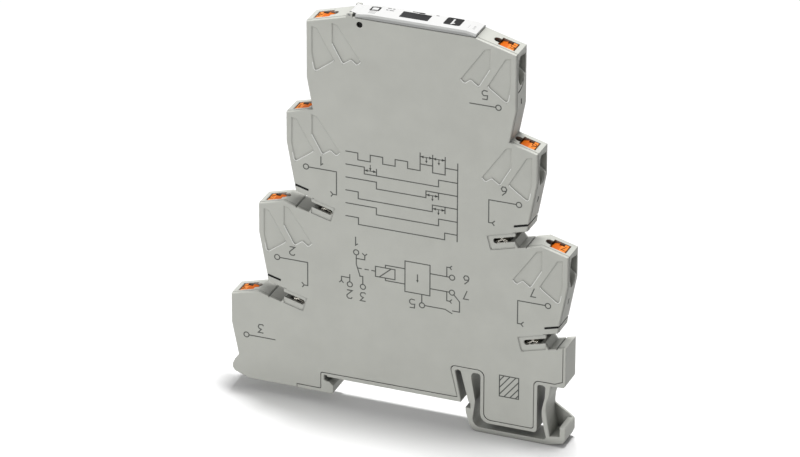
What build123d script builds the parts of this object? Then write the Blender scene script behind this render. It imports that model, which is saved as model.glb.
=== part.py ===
from build123d import *
import math
import os

os.makedirs("parts", exist_ok=True)

# A narrow timer relay for a 35 mm mounting rail. X runs along the stepped profile, Y through the
# thickness away from the printed side, and Z up from the top of the rail, whose middle is the origin.

# Housing thickness and walls
THICKNESS = 6.2
LID_T = 0.8
BACK_WALL = 0.6
WALL = 1.0
SEAM = 0.06
FRONT = -THICKNESS / 2
BACK = THICKNESS / 2
LID_BACK = FRONT + LID_T
CAVITY_BACK = BACK - BACK_WALL
MID_Y = (LID_BACK + CAVITY_BACK) / 2

# Stepped profile: height of each tier's top corner, and how far each tier reaches from the middle
SEAT_Z = 89.95
LEVELS = (87.25, 64.42, 40.72, 16.85)
LEFT_REACH = (21.6, 26.5, 33.3, 40.2)
RIGHT_REACH = (27.55, 32.7, 40.2)
BLOCK_REACH = 40.1
TOP_TILT = 15.2
TOP_SLOPE = math.tan(math.radians(TOP_TILT))
TOP_FACE_H = 13.6
FACE_H = 7.2
END_SLOPE = 0.186
SLIT_DROP = 17.4
LIP_DROP = 18.9
LIP_OUT = 2.15
NOTCH_TOP_DROP = 20.05
NOTCH_H = 3.7
NOTCH_REF = 5.5
NOTCH_IN = {-1: 6.45, 1: 5.45}
SLIT_IN = 5.3
SLIT_W = 0.4
NECK_GROOVE = 0.35

# Rail seat, fixed hook and sprung foot, for a rail 35 mm wide and 1 mm thick
RAIL_W = 35.0
RAIL_T = 1.0
RAIL_CLEAR = 0.1
FLANGE = RAIL_W / 2 + RAIL_CLEAR
BASE_Z = -4.1
HOOK_TIP = 15.4
RIM = 0.75
BLOCK_Z = 8.85
TONGUE_LEFT = 20.75
TONGUE_RIGHT = 32.7
TONGUE_Z = -3.3
FOOT_Z = -6.65
FOOT_T = 1.2
TOE_X = 40.2
TOE_TOP = -1.7
TOE_WALL = 1.35
TOE_FLOOR = -4.3
RAIL_STOP = 15.35
CLAW_SLIT = 14.0
HOOK_STEP = -24.15
LEG_LEFT = 17.85
LEG_RIGHT = 35.4

# Clamp geometry, seen along a conductor's way in: depth runs down the way, across runs inwards
WAY_ANGLE = 33.0
WAY_MOUTH = 5.2
WAY_R = 1.6
WAY_START = 3.2
WAY_END = 7.5
WAY_FLARE = 8.0
WAY_Y = MID_Y
BUTTON_IN = (3.98, 7.6)
BUTTON_W = 3.5
BUTTON_STEP = 5.65
BUTTON_CLEAR = 0.07
LUG = 0.6
LUG_TOP = 4.75
LUG_BOTTOM = 5.6
BUTTON_DIP = 1.0
NOTCH_LONG = 1.1
NOTCH_WIDE = 1.0
NOTCH_DEEP = 0.8
SIDE_SLOT_IN = 9.1
SIDE_SLOT_W = 1.9
SIDE_SLOT_DEEP = 2.4
SPRING_T = 0.4
SPRING_W = 2.7
BAR_T = 0.8
BAR_IN = 2.0

# Wide mouth round each conductor's way, the half-round ledge under it and the small window below
MOUTH_FRONT = -1.8
MOUTH_BACK = 2.5
MOUTH_TOP = 1.6
MOUTH_BOTTOM = 6.5
MOUTH_DEEP = 1.3
LEDGE_DROP = 7.6
LEDGE_REACH = 3.0
LEDGE_H = 1.6
LEDGE_GAP = 0.45
LEDGE_DEEP = 0.3
PEEP_DROP = 12.3
PEEP_W = 0.6
PEEP_H = 1.4
PEEP_Y = 0.2

# Bridge contacts
LEAF_T = 0.3
LEAF_CLEAR = 0.15
LEAF_BACK = MID_Y + 1.2

# Bridge slots behind the notches
POCKET_DEPTH = 0.45
POCKET_STEP = 0.12
POCKET_GROOVE = 0.22
POCKET_IN = 11.6
RELIEF_DEPTH = 0.2
RELIEF_SLOPE = 50
EDGE = 0.15
SLOT_W = 1.25
SLOT_REF_DROP = 21.6
SLOT_IN = {-1: 11.0, 1: 10.1}

# Cover over the controls
COVER_GAP = 0.05
COVER_T = 1.0
COVER_RIGHT = 18.05
COVER_LEFT = -10.05
COVER_RISE = 3.3
COVER_THIN = 0.62
COVER_END = 2.3
COVER_DROOP = 0.45
COVER_EDGE = 0.4
HINGE_X = -11.37
HINGE_R = 0.42
HINGE_GAP = 0.12
PIN_R = 0.22
PIN_FIT = 0.02
PIN_RUN = 0.05
EAR_HALF = 0.68
EAR_H = 0.85
PEG_X = -9.0
PEG_Z = 88.4
PEG_R = 0.45
PEG_HOLE_R = 0.7
PEG_DROP = 0.55
WINDOW = (-0.55, 6.1)
WINDOW_W = 3.1
OPENING = (-6.2, 16.4)

# Circuit board
BOARD_T = 1.0
BOARD_Y = CAVITY_BACK - BOARD_T
BOARD_LEFT = -17.5
BOARD_NECK_LEFT = -12.3
BOARD_TOP_LEFT = -7.0
BOARD_TOP_RIGHT = 13.6
BOARD_RIGHT = 18.4
BOARD_TOP = 86.0
BOARD_BOTTOM = 3.5

# Plug-in relay in the board's cut-out
RELAY_LEFT = -11.5
RELAY_W = 15.0
RELAY_Z = 26.0
RELAY_H = 28.0
RELAY_T = 4.7
RELAY_Y = MID_Y
RELAY_WALL = 0.4
RELAY_BASE_T = 1.4
RELAY_FIT = 0.05
COIL_X = -6.0
COIL_Z = 27.2
COIL_H = 13.2
COIL_W = 6.4
COIL_T = 3.5
FLANGE_T = 0.6
CORE_R = 1.0
TUBE_R = 1.4
CORE_GAP = 0.35
ARMATURE_T = 0.8
BLADE_Z = 48.1
BLADE_T = 0.2
BLADE_W = 2.4
TIP_X = -8.2
TIP_R = 0.8
PIN_SQ = 0.5

# Controls under the cover
DIAL_X = -3.4
DIAL_Y = -0.2
DIAL_R = 1.7
DIAL_H = 1.15
DIAL_Z = 88.3
CONTROL_FOOT = 81.5
LED_W = 1.8
LED_T = 1.7
LED_H = 2.1
LED_GAP = 0.1
GUIDE_X = 2.75
GUIDE_R = 1.15
GUIDE_T = 2.4
GUIDE_DROP = 0.35
SWITCH_X = 7.9
SWITCH_PITCH = 1.6
SWITCH_COUNT = 4
SWITCH_W = 0.8
SWITCH_TRAVEL = 0.9
SWITCH_TOP = 88.6


def side_plane(y):
    """The plane at depth y, seen from the printed side: local x is X and local y is Z."""
    return Plane.XZ.offset(-y)


def outline_face(points, y):
    """A face at depth y over a closed outline, where a corner given as (x, z, radius) is rounded."""
    with BuildSketch(side_plane(y)) as outline:
        with BuildLine():
            Polyline(*[point[:2] for point in points], close=True)
        make_face()
        for x, z, *radius in points:
            if radius:
                fillet(outline.vertices().sort_by_distance((x, z))[0], radius[0])
    return outline.sketch


def slab(points, front, back, mode=Mode.ADD):
    """A prism through the thickness over a closed outline."""
    extrude(outline_face(points, back), amount=back - front, mode=mode)


def rod(x, z, radius, front, back, mode=Mode.ADD):
    """A round bar or hole through the thickness."""
    with BuildSketch(side_plane(back)) as outline:
        with Locations((x, z)):
            Circle(radius)
    extrude(outline.sketch, amount=back - front, mode=mode)


def block(x, y, z, mode=Mode.ADD):
    """A box given by its (low, high) ends along each axis."""
    with BuildSketch(Plane.XY.offset(z[0])) as outline:
        with Locations(((x[0] + x[1]) / 2, (y[0] + y[1]) / 2)):
            Rectangle(x[1] - x[0], y[1] - y[0])
    extrude(outline.sketch, amount=z[1] - z[0], mode=mode)


def meet(p, p_dir, q, q_dir):
    """Where the line through p along p_dir crosses the line through q along q_dir."""
    det = p_dir[0] * q_dir[1] - p_dir[1] * q_dir[0]
    t = ((q[0] - p[0]) * q_dir[1] - (q[1] - p[1]) * q_dir[0]) / det
    return (p[0] + t * p_dir[0], p[1] + t * p_dir[1])


def inset(points, margin):
    """A clockwise closed outline with every side moved inwards by a margin."""
    sides = []
    for (ax, az, *_), (bx, bz, *_) in zip(points, points[1:] + points[:1]):
        length = math.hypot(bx - ax, bz - az)
        along = ((bx - ax) / length, (bz - az) / length)
        sides.append(((ax + along[1] * margin, az - along[0] * margin), along))
    return [
        (*meet(*before, *after), *radius)
        for (_, _, *radius), before, after in zip(points, sides[-1:] + sides[:-1], sides)
    ]


def strip(path, thickness):
    """The closed outline of a bent strip along a path, seen edge on."""
    half = thickness / 2
    dirs = []
    for a, b in zip(path, path[1:]):
        length = math.hypot(b[0] - a[0], b[1] - a[1])
        dirs.append(((b[0] - a[0]) / length, (b[1] - a[1]) / length))
    upper = []
    lower = []
    for i, (x, z) in enumerate(path):
        before = dirs[max(i - 1, 0)]
        after = dirs[min(i, len(dirs) - 1)]
        normal = (-before[1] - after[1], before[0] + after[0])
        scale = half / (normal[0] * -after[1] + normal[1] * after[0])
        upper.append((x + normal[0] * scale, z + normal[1] * scale))
        lower.append((x - normal[0] * scale, z - normal[1] * scale))
    return upper + lower[::-1]


def save(part, name):
    part.label = name
    export_step(part, f"parts/{name}.step")


class Tier:
    """One terminal step of the profile: its side, its top outer corner and its clamp's own axes."""

    def __init__(self, name, side, reach, z, face_h, bridged):
        self.name = name
        self.side = side
        self.x = side * reach
        self.z = z
        self.face_h = face_h
        self.bridged = bridged

    def at(self, out, up):
        """A point measured outwards and up from the corner."""
        return (self.x + self.side * out, self.z + up)

    def way(self, across, depth):
        """A point measured across and down the conductor's way in."""
        sin_a = math.sin(math.radians(WAY_ANGLE))
        cos_a = math.cos(math.radians(WAY_ANGLE))
        return self.at(-across * cos_a - depth * sin_a, -WAY_MOUTH + across * sin_a - depth * cos_a)

    def top_depth(self, across):
        """Depth at which the sloped top face is met on a line down the way."""
        sin_a = math.sin(math.radians(WAY_ANGLE))
        cos_a = math.cos(math.radians(WAY_ANGLE))
        rise = across * (sin_a - cos_a * TOP_SLOPE) - WAY_MOUTH
        return rise / (cos_a + sin_a * TOP_SLOPE)

    def end_face(self, up):
        """How far inside the corner the end face lies at a height."""
        return -END_SLOPE * max(0.0, -up - self.face_h)

    def notch_top(self, out):
        """Height of the notch's upper side, on the slope of the tops but falling inwards."""
        return -NOTCH_TOP_DROP + (out + NOTCH_REF) * TOP_SLOPE

    def slot_line(self, out):
        """Height of the middle of the bridge slot."""
        return -SLOT_REF_DROP + (out + NOTCH_REF) * TOP_SLOPE

    def along_top(self):
        """Direction of the sloped top face, going inwards."""
        return (-self.side, TOP_SLOPE)

    def along_notch(self):
        """Direction of the notch's sides, going outwards."""
        return (self.side, TOP_SLOPE)


LEFT = [
    Tier("left_1", -1, LEFT_REACH[0], LEVELS[0], TOP_FACE_H, False),
    Tier("left_2", -1, LEFT_REACH[1], LEVELS[1], FACE_H, True),
    Tier("left_3", -1, LEFT_REACH[2], LEVELS[2], FACE_H, True),
    Tier("left_4", -1, LEFT_REACH[3], LEVELS[3], FACE_H, False),
]
RIGHT = [
    Tier("right_1", 1, RIGHT_REACH[0], LEVELS[0], TOP_FACE_H, False),
    Tier("right_2", 1, RIGHT_REACH[1], LEVELS[1], FACE_H, True),
    Tier("right_3", 1, RIGHT_REACH[2], LEVELS[2], FACE_H, True),
]
TIERS = LEFT + RIGHT


def lip_and_notch(tier):
    """The lip under a tier and the notch that parts it from the tier below, going inwards."""
    notch_in = NOTCH_IN[tier.side]
    drop = LIP_DROP
    return [
        tier.at(tier.end_face(-SLIT_DROP), -SLIT_DROP),
        tier.at(-LIP_OUT, -drop),
        tier.at(-LIP_OUT, tier.notch_top(-LIP_OUT)),
        tier.at(-notch_in, tier.notch_top(-notch_in)),
        tier.at(-notch_in + 0.2, tier.notch_top(-notch_in) - 2.1),
        tier.at(-notch_in + 1.25, tier.notch_top(-notch_in + 1.25) - NOTCH_H),
    ]


def side_outline(tiers):
    """One side's stepped outline from the top edge down to its last tier."""
    points = [meet((0, SEAT_Z), (1, 0), tiers[0].at(0, 0), tiers[0].along_top())]
    for tier, lower in zip(tiers, tiers[1:]):
        points += [tier.at(0, 0), tier.at(0, -tier.face_h)]
        if tier.bridged:
            points += lip_and_notch(tier)
            start = tier.at(-NOTCH_REF, -NOTCH_TOP_DROP - NOTCH_H)
            points.append(meet(start, tier.along_notch(), lower.at(0, 0), lower.along_top()))
        else:
            face = tier.at(0, -tier.face_h)
            slant = (-tier.side * END_SLOPE, -1)
            points.append(meet(face, slant, lower.at(0, 0), lower.along_top()))
    return points


def heel():
    """The left end down to the underside: last tier's end face, rounded heel and base."""
    tier = LEFT[3]
    return [
        tier.at(0, 0),
        tier.at(0, -FACE_H),
        (-38.55, 1.55),
        (-39.75, -0.15),
        (-40.12, -1.05),
        (-40.1, -2.0),
        (-39.55, -2.8),
        (-36.1, BASE_Z + 0.05),
        (-35.6, BASE_Z),
    ]


def right_block_top(x):
    """Height of the sloped top of the block above the foot."""
    tier = RIGHT[2]
    start = tier.at(-NOTCH_REF, -NOTCH_TOP_DROP - NOTCH_H)
    return start[1] + (x - start[0]) * TOP_SLOPE


def foot_outline():
    """The right end below the last tier: block, toe with its pocket, and the claw at the rail."""
    return [
        (BLOCK_REACH, right_block_top(BLOCK_REACH)),
        (BLOCK_REACH, BLOCK_Z + 0.1),
        (BLOCK_REACH - 0.5, BLOCK_Z - 0.55),
        (36.6, BLOCK_Z - 0.75),
        (36.25, 5.5),
        (35.7, 3.8),
        (35.55, 1.8),
        (35.95, -1.2),
        (36.55, TOE_FLOOR - 0.15),
        (TOE_X - TOE_WALL, TOE_FLOOR + 0.2),
        (TOE_X - TOE_WALL, TOE_TOP),
        (TOE_X - 0.15, TOE_TOP),
        (TOE_X + 0.05, TOE_TOP - 0.5),
        (TOE_X + 0.05, -4.6),
        (TOE_X - 0.45, -5.75),
        (36.7, FOOT_Z + 0.1),
        (34.6, FOOT_Z),
        (19.0, FOOT_Z),
        (18.15, -6.3),
        (17.35, -5.0),
        (16.5, -2.3),
        (16.4, -RAIL_T - RAIL_CLEAR),
        (FLANGE, -RAIL_T - RAIL_CLEAR),
        (FLANGE, RAIL_CLEAR),
        (17.1, 0.5),
        (15.3, 7.4),
        (15.1, 7.85),
        (14.55, 8.05),
        (CLAW_SLIT + 0.05, 7.75),
        (CLAW_SLIT, 7.3),
        (RAIL_STOP, 0.6),
        (RAIL_STOP - 0.05, 0.0),
    ]


def hook_outline():
    """The rail seat and the fixed hook, going left."""
    return [
        (-16.9, 0.0),
        (-17.05, 0.35),
        (-FLANGE, 0.35),
        (-FLANGE, -RAIL_T - RAIL_CLEAR + 0.3),
        (-17.0, -RAIL_T - RAIL_CLEAR),
        (-16.5, -RAIL_T - RAIL_CLEAR),
        (-HOOK_TIP, -2.0),
        (-HOOK_TIP, BASE_Z + 0.4),
        (-15.85, BASE_Z),
    ]


def housing_outline():
    """The whole moulding's outline, clockwise from the top left, without the foot's slots."""
    right = side_outline(RIGHT + [Tier("block", 1, 99, 0, FACE_H, False)])
    right_side = right[:-1]
    left_side = side_outline(LEFT)[::-1]
    return right_side + foot_outline() + hook_outline() + heel()[::-1] + left_side


def lid_outline():
    """The printed side plate: flush with the housing, but inside a rim around the rail and the foot."""
    block_edge = BLOCK_REACH - 0.65
    hook_edge = -FLANGE - RIM
    right_side = side_outline(RIGHT + [Tier("block", 1, 99, 0, FACE_H, False)])[:-1]
    left_side = side_outline(LEFT)[::-1]
    rim = [
        (block_edge, right_block_top(block_edge)),
        (block_edge, BLOCK_Z + 0.85),
        (block_edge - 1.85, BLOCK_Z),
        (TONGUE_RIGHT, BLOCK_Z, 1.2),
        (TONGUE_RIGHT, TONGUE_Z, 0.7),
        (TONGUE_LEFT, TONGUE_Z, 1.7),
        (TONGUE_LEFT, BLOCK_Z, 1.5),
        (CLAW_SLIT - 1.2, BLOCK_Z, 0.9),
        (RAIL_STOP - RIM, RIM + 0.35, 0.3),
        (hook_edge, RIM + 0.15, 0.35),
        (hook_edge, BASE_Z + 0.9, 0.4),
        (HOOK_STEP, BASE_Z + 0.9),
        (HOOK_STEP, BASE_Z),
    ]
    return right_side + rim + heel()[::-1] + left_side


def foot_slot():
    """The U-shaped slot that frees the foot's spring from the housing."""
    inner_left = TONGUE_LEFT - RIM
    inner_right = TONGUE_RIGHT + RIM
    floor = FOOT_Z + FOOT_T
    top = BLOCK_Z - 0.8
    return [
        (LEG_LEFT, top, 0.8),
        (inner_left, top, 0.8),
        (inner_left, TONGUE_Z - RIM, 2.2),
        (inner_right, TONGUE_Z - RIM, 0.8),
        (inner_right, top, 0.6),
        (LEG_RIGHT, top, 0.7),
        (LEG_RIGHT - 0.15, top - 3.0, 2.0),
        (LEG_RIGHT - 1.0, 1.2, 8.0),
        (LEG_RIGHT + 0.35, floor, 0.6),
        (LEG_LEFT + 0.15, floor, 1.9),
        (LEG_LEFT + 0.9, 1.0, 2.0),
        (LEG_LEFT, 6.2, 1.0),
    ]


def cavity_side(tiers):
    """One side of the inner space: round each clamp's block, and clear of lips and notches."""
    points = []
    inner_wall = SIDE_SLOT_IN + 0.5
    outer_wall = -WAY_R - 1.1
    for tier in tiers:
        face_in = tier.end_face(-SLIT_DROP) - 0.85
        points.append(tier.way(inner_wall, WAY_END))
        points.append(tier.way(outer_wall, WAY_END))
        if tier.bridged:
            notch_in = NOTCH_IN[tier.side] + 0.8
            slit = -SLIT_DROP + SLIT_W / 2 + 0.8
            points.append(tier.at(face_in, slit))
            points.append(tier.at(-SLIT_IN - 0.8, slit - (SLIT_IN - 1.9) * TOP_SLOPE))
            points.append(tier.at(-notch_in, tier.notch_top(-notch_in) + 0.9))
            points.append(tier.at(-notch_in, tier.notch_top(-notch_in) - NOTCH_H - 0.9))
    return points


def cavity_outline():
    """The inner space between the lid and the back wall."""
    top = SEAT_Z - WALL
    left_1, left_2, left_3, left_4 = LEFT
    right_1, right_2, right_3 = RIGHT
    inner_wall = SIDE_SLOT_IN + 0.5
    up_left = (-math.sin(math.radians(WAY_ANGLE)), math.cos(math.radians(WAY_ANGLE)))
    up_right = (-up_left[0], up_left[1])

    def column_head(tier, x):
        """Where a clamp block's inner side meets the wall of the tier above."""
        up = up_right if tier.side > 0 else up_left
        return meet(tier.way(inner_wall, WAY_END), up, (x, 0), (0, 1))

    def shoulder(tier, lower):
        """Where a clamp block's inner side meets the underside of the neck above it."""
        up = up_right if lower.side > 0 else up_left
        start = tier.at(-NOTCH_REF, -NOTCH_TOP_DROP - NOTCH_H - 0.95)
        return meet(lower.way(inner_wall, WAY_END), up, start, tier.along_notch())

    wall_r1 = right_1.x - 1.25 - WALL
    wall_l1 = left_1.x + 1.45 + WALL
    points = [(0, top)]
    points.append(meet(right_1.way(inner_wall, WAY_END), up_right, (0, top), (1, 0)))
    points += cavity_side([right_1])
    points.append((wall_r1, right_2.z + 4))
    points.append(column_head(right_2, wall_r1))
    points += cavity_side([right_2])
    points.append(shoulder(right_2, right_3))
    points += cavity_side([right_3])
    block_in = BLOCK_REACH - 0.65 - 0.8
    points.append((block_in, right_block_top(block_in) - 0.95))
    points.append((block_in, BLOCK_Z + 1.0))
    points.append((TONGUE_RIGHT - 1.0, BLOCK_Z + 1.0))
    points.append((TONGUE_RIGHT - 1.0, TONGUE_Z + 1.0))
    points.append((TONGUE_LEFT + 1.0, TONGUE_Z + 1.0))
    points.append((TONGUE_LEFT + 1.0, BLOCK_Z + 1.0))
    points.append((12.0, BLOCK_Z + 1.0))
    points.append((12.0, 2.1))
    points.append((-19.2, 2.1))
    points.append((-19.2, BASE_Z + 1.1))
    points.append((-36.0, BASE_Z + 1.1))
    points.append((-37.6, 1.6))
    left = cavity_side([left_4])[::-1]
    points += left
    points.append(shoulder(left_3, left_4))
    points += cavity_side([left_3])[::-1]
    points.append(shoulder(left_2, left_3))
    points += cavity_side([left_2])[::-1]
    points.append(column_head(left_2, wall_l1))
    points.append((wall_l1, left_2.z + 4))
    points += cavity_side([left_1])[::-1]
    points.append(meet(left_1.way(inner_wall, WAY_END), up_left, (0, top), (1, 0)))
    return points


def cut_slit(tier):
    """The thin cut that frees the lip under a tier."""
    slope = (SLIT_IN - 1.9) * TOP_SLOPE
    low = SLIT_W / 2
    slab(
        [
            tier.at(0.5, -SLIT_DROP + 2.4 * TOP_SLOPE - low),
            tier.at(0.5, -SLIT_DROP + 2.4 * TOP_SLOPE + low),
            tier.at(-SLIT_IN, -SLIT_DROP - slope + low),
            tier.at(-SLIT_IN, -SLIT_DROP - slope - low),
        ],
        FRONT - 1,
        BACK + 1,
        Mode.SUBTRACT,
    )


def bridge_slot(tier, front, back):
    """The round-ended slot for a plug-in bridge, open to the notch."""
    slot_in = SLOT_IN[tier.side]
    end = tier.at(-slot_in + SLOT_W / 2, tier.slot_line(-slot_in + SLOT_W / 2))
    mouth = tier.at(-NOTCH_IN[tier.side] + 0.6, tier.slot_line(-NOTCH_IN[tier.side] + 0.6))
    half = SLOT_W / 2
    slab(
        [
            (end[0], end[1] - half),
            (mouth[0], mouth[1] - half),
            (mouth[0], mouth[1] + half),
            (end[0], end[1] + half),
        ],
        front,
        back,
        Mode.SUBTRACT,
    )
    rod(end[0], end[1], half, front, back, Mode.SUBTRACT)


def neck_groove(tier):
    """The small groove across the slope that rises out of a notch."""
    out = -2.3
    up = tier.notch_top(out) - NOTCH_H
    slab(
        [
            tier.at(out - 0.3, up + 0.3),
            tier.at(out + 0.3, up + 0.3),
            tier.at(out + 0.22, up),
            tier.at(out, up - NECK_GROOVE),
            tier.at(out - 0.22, up - 0.05),
        ],
        FRONT - 1,
        BACK + 1,
        Mode.SUBTRACT,
    )


def way_plane(tier, depth):
    """Plane across a conductor's way at a depth, facing out of its mouth."""
    x, z = tier.way(0, depth)
    out = (tier.side * math.sin(math.radians(WAY_ANGLE)), 0, math.cos(math.radians(WAY_ANGLE)))
    return Plane(origin=(x, WAY_Y, z), x_dir=(0, 1, 0), z_dir=out)


def cut_clamp(tier):
    """A clamp's conductor way, its button channel and the short slot beside the button."""
    with BuildSketch(way_plane(tier, WAY_END + 0.5)) as way:
        Circle(WAY_R)
    extrude(way.sketch, amount=WAY_END + 0.5 - WAY_START, mode=Mode.SUBTRACT)
    with BuildSketch(way_plane(tier, WAY_START)) as mouth:
        Circle(WAY_R)
    extrude(mouth.sketch, amount=WAY_START + 3.5, taper=-WAY_FLARE, mode=Mode.SUBTRACT)
    low = BUTTON_IN[0] - BUTTON_CLEAR
    high = BUTTON_IN[1] + BUTTON_CLEAR
    half = BUTTON_W / 2 + BUTTON_CLEAR
    slab(
        [
            tier.way(low, WAY_END + 0.5),
            tier.way(low, tier.top_depth(low) - 1),
            tier.way(high, tier.top_depth(high) - 1),
            tier.way(high, WAY_END + 0.5),
        ],
        WAY_Y - half,
        WAY_Y + half,
        Mode.SUBTRACT,
    )
    slab(
        [
            tier.way(high - 0.2, WAY_END + 0.5),
            tier.way(high - 0.2, LUG_TOP - BUTTON_CLEAR),
            tier.way(high + LUG + 0.1, LUG_TOP - BUTTON_CLEAR),
            tier.way(high + LUG + 0.1, WAY_END + 0.5),
        ],
        WAY_Y - half,
        WAY_Y + half,
        Mode.SUBTRACT,
    )
    slot = SIDE_SLOT_W / 2
    x, z = tier.way(SIDE_SLOT_IN - slot, tier.top_depth(SIDE_SLOT_IN) + SIDE_SLOT_DEEP)
    out = (tier.side * math.sin(math.radians(WAY_ANGLE)), 0, math.cos(math.radians(WAY_ANGLE)))
    across = (-tier.side * math.cos(math.radians(WAY_ANGLE)), 0, math.sin(math.radians(WAY_ANGLE)))
    with BuildSketch(Plane(origin=(x, WAY_Y, z), x_dir=across, z_dir=out)) as side_slot:
        Circle(slot)
        with Locations((-slot / 2 - 0.3, 0)):
            Rectangle(slot + 0.6, SIDE_SLOT_W)
    extrude(side_slot.sketch, amount=SIDE_SLOT_DEEP + 2.4, mode=Mode.SUBTRACT)


def cut_mouth(tier):
    """The hollow round a conductor's mouth in the end face, the ledge under it and the small window."""
    slab(
        [
            tier.at(1, -MOUTH_TOP),
            tier.at(0, -MOUTH_TOP),
            tier.at(-MOUTH_DEEP * 0.8, -MOUTH_TOP - 0.7),
            tier.at(-MOUTH_DEEP, -MOUTH_BOTTOM + 1.6),
            tier.at(0, -MOUTH_BOTTOM),
            tier.at(1, -MOUTH_BOTTOM),
        ],
        MOUTH_FRONT,
        MOUTH_BACK,
        Mode.SUBTRACT,
    )
    x, z = tier.at(0, 0)
    end_plane = Plane(origin=(x, 0, z), x_dir=(0, tier.side, 0), z_dir=(tier.side, 0, 0))
    with BuildSketch(end_plane) as groove:
        with Locations((tier.side * MOUTH_FRONT, -LEDGE_DROP)):
            Ellipse(LEDGE_REACH + LEDGE_GAP, LEDGE_H + LEDGE_GAP)
            Ellipse(LEDGE_REACH, LEDGE_H, mode=Mode.SUBTRACT)
        with Locations((tier.side * (MOUTH_FRONT + THICKNESS / 2), -LEDGE_DROP)):
            Rectangle(THICKNESS, THICKNESS, mode=Mode.INTERSECT)
    extrude(groove.sketch, amount=-LEDGE_DEEP, mode=Mode.SUBTRACT)
    with BuildSketch(end_plane) as peep:
        with Locations((tier.side * PEEP_Y, -PEEP_DROP)):
            Rectangle(PEEP_W, PEEP_H)
    extrude(peep.sketch, amount=tier.end_face(-PEEP_DROP) - 0.6, mode=Mode.SUBTRACT)


def hinge_ear(front, back):
    """An ear that stands on the top edge and holds the cover's hinge pin."""
    low = SEAT_Z - 0.5
    top = SEAT_Z + EAR_H
    slab(
        [
            (HINGE_X - EAR_HALF, low),
            (HINGE_X - EAR_HALF, top - 0.15, 0.25),
            (HINGE_X + EAR_HALF, top, 0.25),
            (HINGE_X + EAR_HALF, low),
        ],
        front,
        back,
    )
    rod(HINGE_X, HINGE_Z, PIN_R + PIN_FIT, front - 1, back + 1, Mode.SUBTRACT)


# Base moulding: back wall, outer walls, clamp blocks, rail seat, fixed hook and sprung foot
HINGE_Z = SEAT_Z + COVER_GAP + HINGE_R
with BuildPart() as base_housing:
    slab(housing_outline(), FRONT, BACK)
    chamfer(base_housing.faces().filter_by(Axis.Y).sort_by(Axis.Y)[0].outer_wire().edges(), EDGE)
    slab(foot_slot(), FRONT - 1, BACK + 1, Mode.SUBTRACT)
    slab(lid_outline(), FRONT - 1, LID_BACK, Mode.SUBTRACT)
    slab(cavity_outline(), LID_BACK - 1, CAVITY_BACK, Mode.SUBTRACT)
    # Back web that closes the toe's pocket
    slab(
        [
            (35.2, 1.5),
            (TOE_X - TOE_WALL + 0.1, -0.9),
            (TOE_X - 0.1, TOE_TOP - 0.1),
            (TOE_X - 0.3, -5.0),
            (36.2, -5.0),
        ],
        CAVITY_BACK,
        BACK,
    )
    for tier in TIERS:
        cut_clamp(tier)
        cut_mouth(tier)
        if tier.bridged:
            cut_slit(tier)
            bridge_slot(tier, FRONT, CAVITY_BACK)
            neck_groove(tier)
    # Opening in the top wall over the controls
    through = (SEAT_Z - WALL - 0.5, SEAT_Z + 1)
    block(OPENING, (LID_BACK, CAVITY_BACK - 0.35), through, Mode.SUBTRACT)
    # Ear for the cover's hinge, and the peg that the side plate snaps over
    hinge_ear(CAVITY_BACK, BACK)
    rod(PEG_X, PEG_Z, PEG_R, FRONT + PEG_DROP, CAVITY_BACK + 0.1)
save(base_housing.part, "base_housing")

# Printed side plate, with shallow recesses over the clamps and round the bridge slots
CLAMP_RELIEF = [
    (-1.25, -1.0),
    (-1.2, -7.5, 3.0),
    (-2.1, -11.9),
    (-6.75, -8.5),
    (-2.6, -1.3),
]
BUTTON_RELIEF = [
    (-6.05, 0.5),
    (-6.05, -4.4),
    (-8.7, -9.1),
    (-10.6, -7.6),
    (-12.0, -8.75),
    (-13.0, -7.8),
    (-7.4, 0.2),
]


def side_relief(tier, corners):
    """A shallow recess with sloping sides in the side plate."""
    outline = [(*tier.at(out, up), *radius) for out, up, *radius in corners]
    extrude(outline_face(outline, FRONT), amount=-RELIEF_DEPTH, taper=RELIEF_SLOPE, mode=Mode.SUBTRACT)


def pocket_outline(tier, margin):
    """The plate round a bridge slot, a margin inside its groove, open to the notch."""
    out = -NOTCH_IN[tier.side] + 0.5
    tilt = NOTCH_H * TOP_SLOPE / (1 + TOP_SLOPE**2)
    far = -POCKET_IN + margin
    deep = far + tilt
    return [
        tier.at(out, tier.notch_top(out) - margin),
        tier.at(far, tier.notch_top(far) - margin),
        tier.at(deep, tier.notch_top(deep) - NOTCH_H + margin),
        tier.at(out, tier.notch_top(out) - NOTCH_H + margin),
    ]


with BuildPart() as side_lid:
    extrude(outline_face(inset(lid_outline(), SEAM), LID_BACK), amount=LID_T)
    chamfer(side_lid.faces().sort_by(Axis.Y)[0].outer_wire().edges(), EDGE)
    for tier in TIERS:
        if tier is not LEFT[3]:
            side_relief(tier, CLAMP_RELIEF)
            side_relief(tier, BUTTON_RELIEF)
        if tier.bridged:
            cut_slit(tier)
            neck_groove(tier)
            slab(pocket_outline(tier, 0), FRONT - 1, FRONT + POCKET_DEPTH, Mode.SUBTRACT)
            slab(pocket_outline(tier, POCKET_GROOVE), FRONT + POCKET_STEP, FRONT + POCKET_DEPTH + 0.1)
            bridge_slot(tier, FRONT - 1, LID_BACK + 1)
    hinge_ear(FRONT, LID_BACK)
    rod(PEG_X, PEG_Z, PEG_HOLE_R, FRONT - 1, LID_BACK + 1, Mode.SUBTRACT)
save(side_lid.part, "side_lid")

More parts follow.
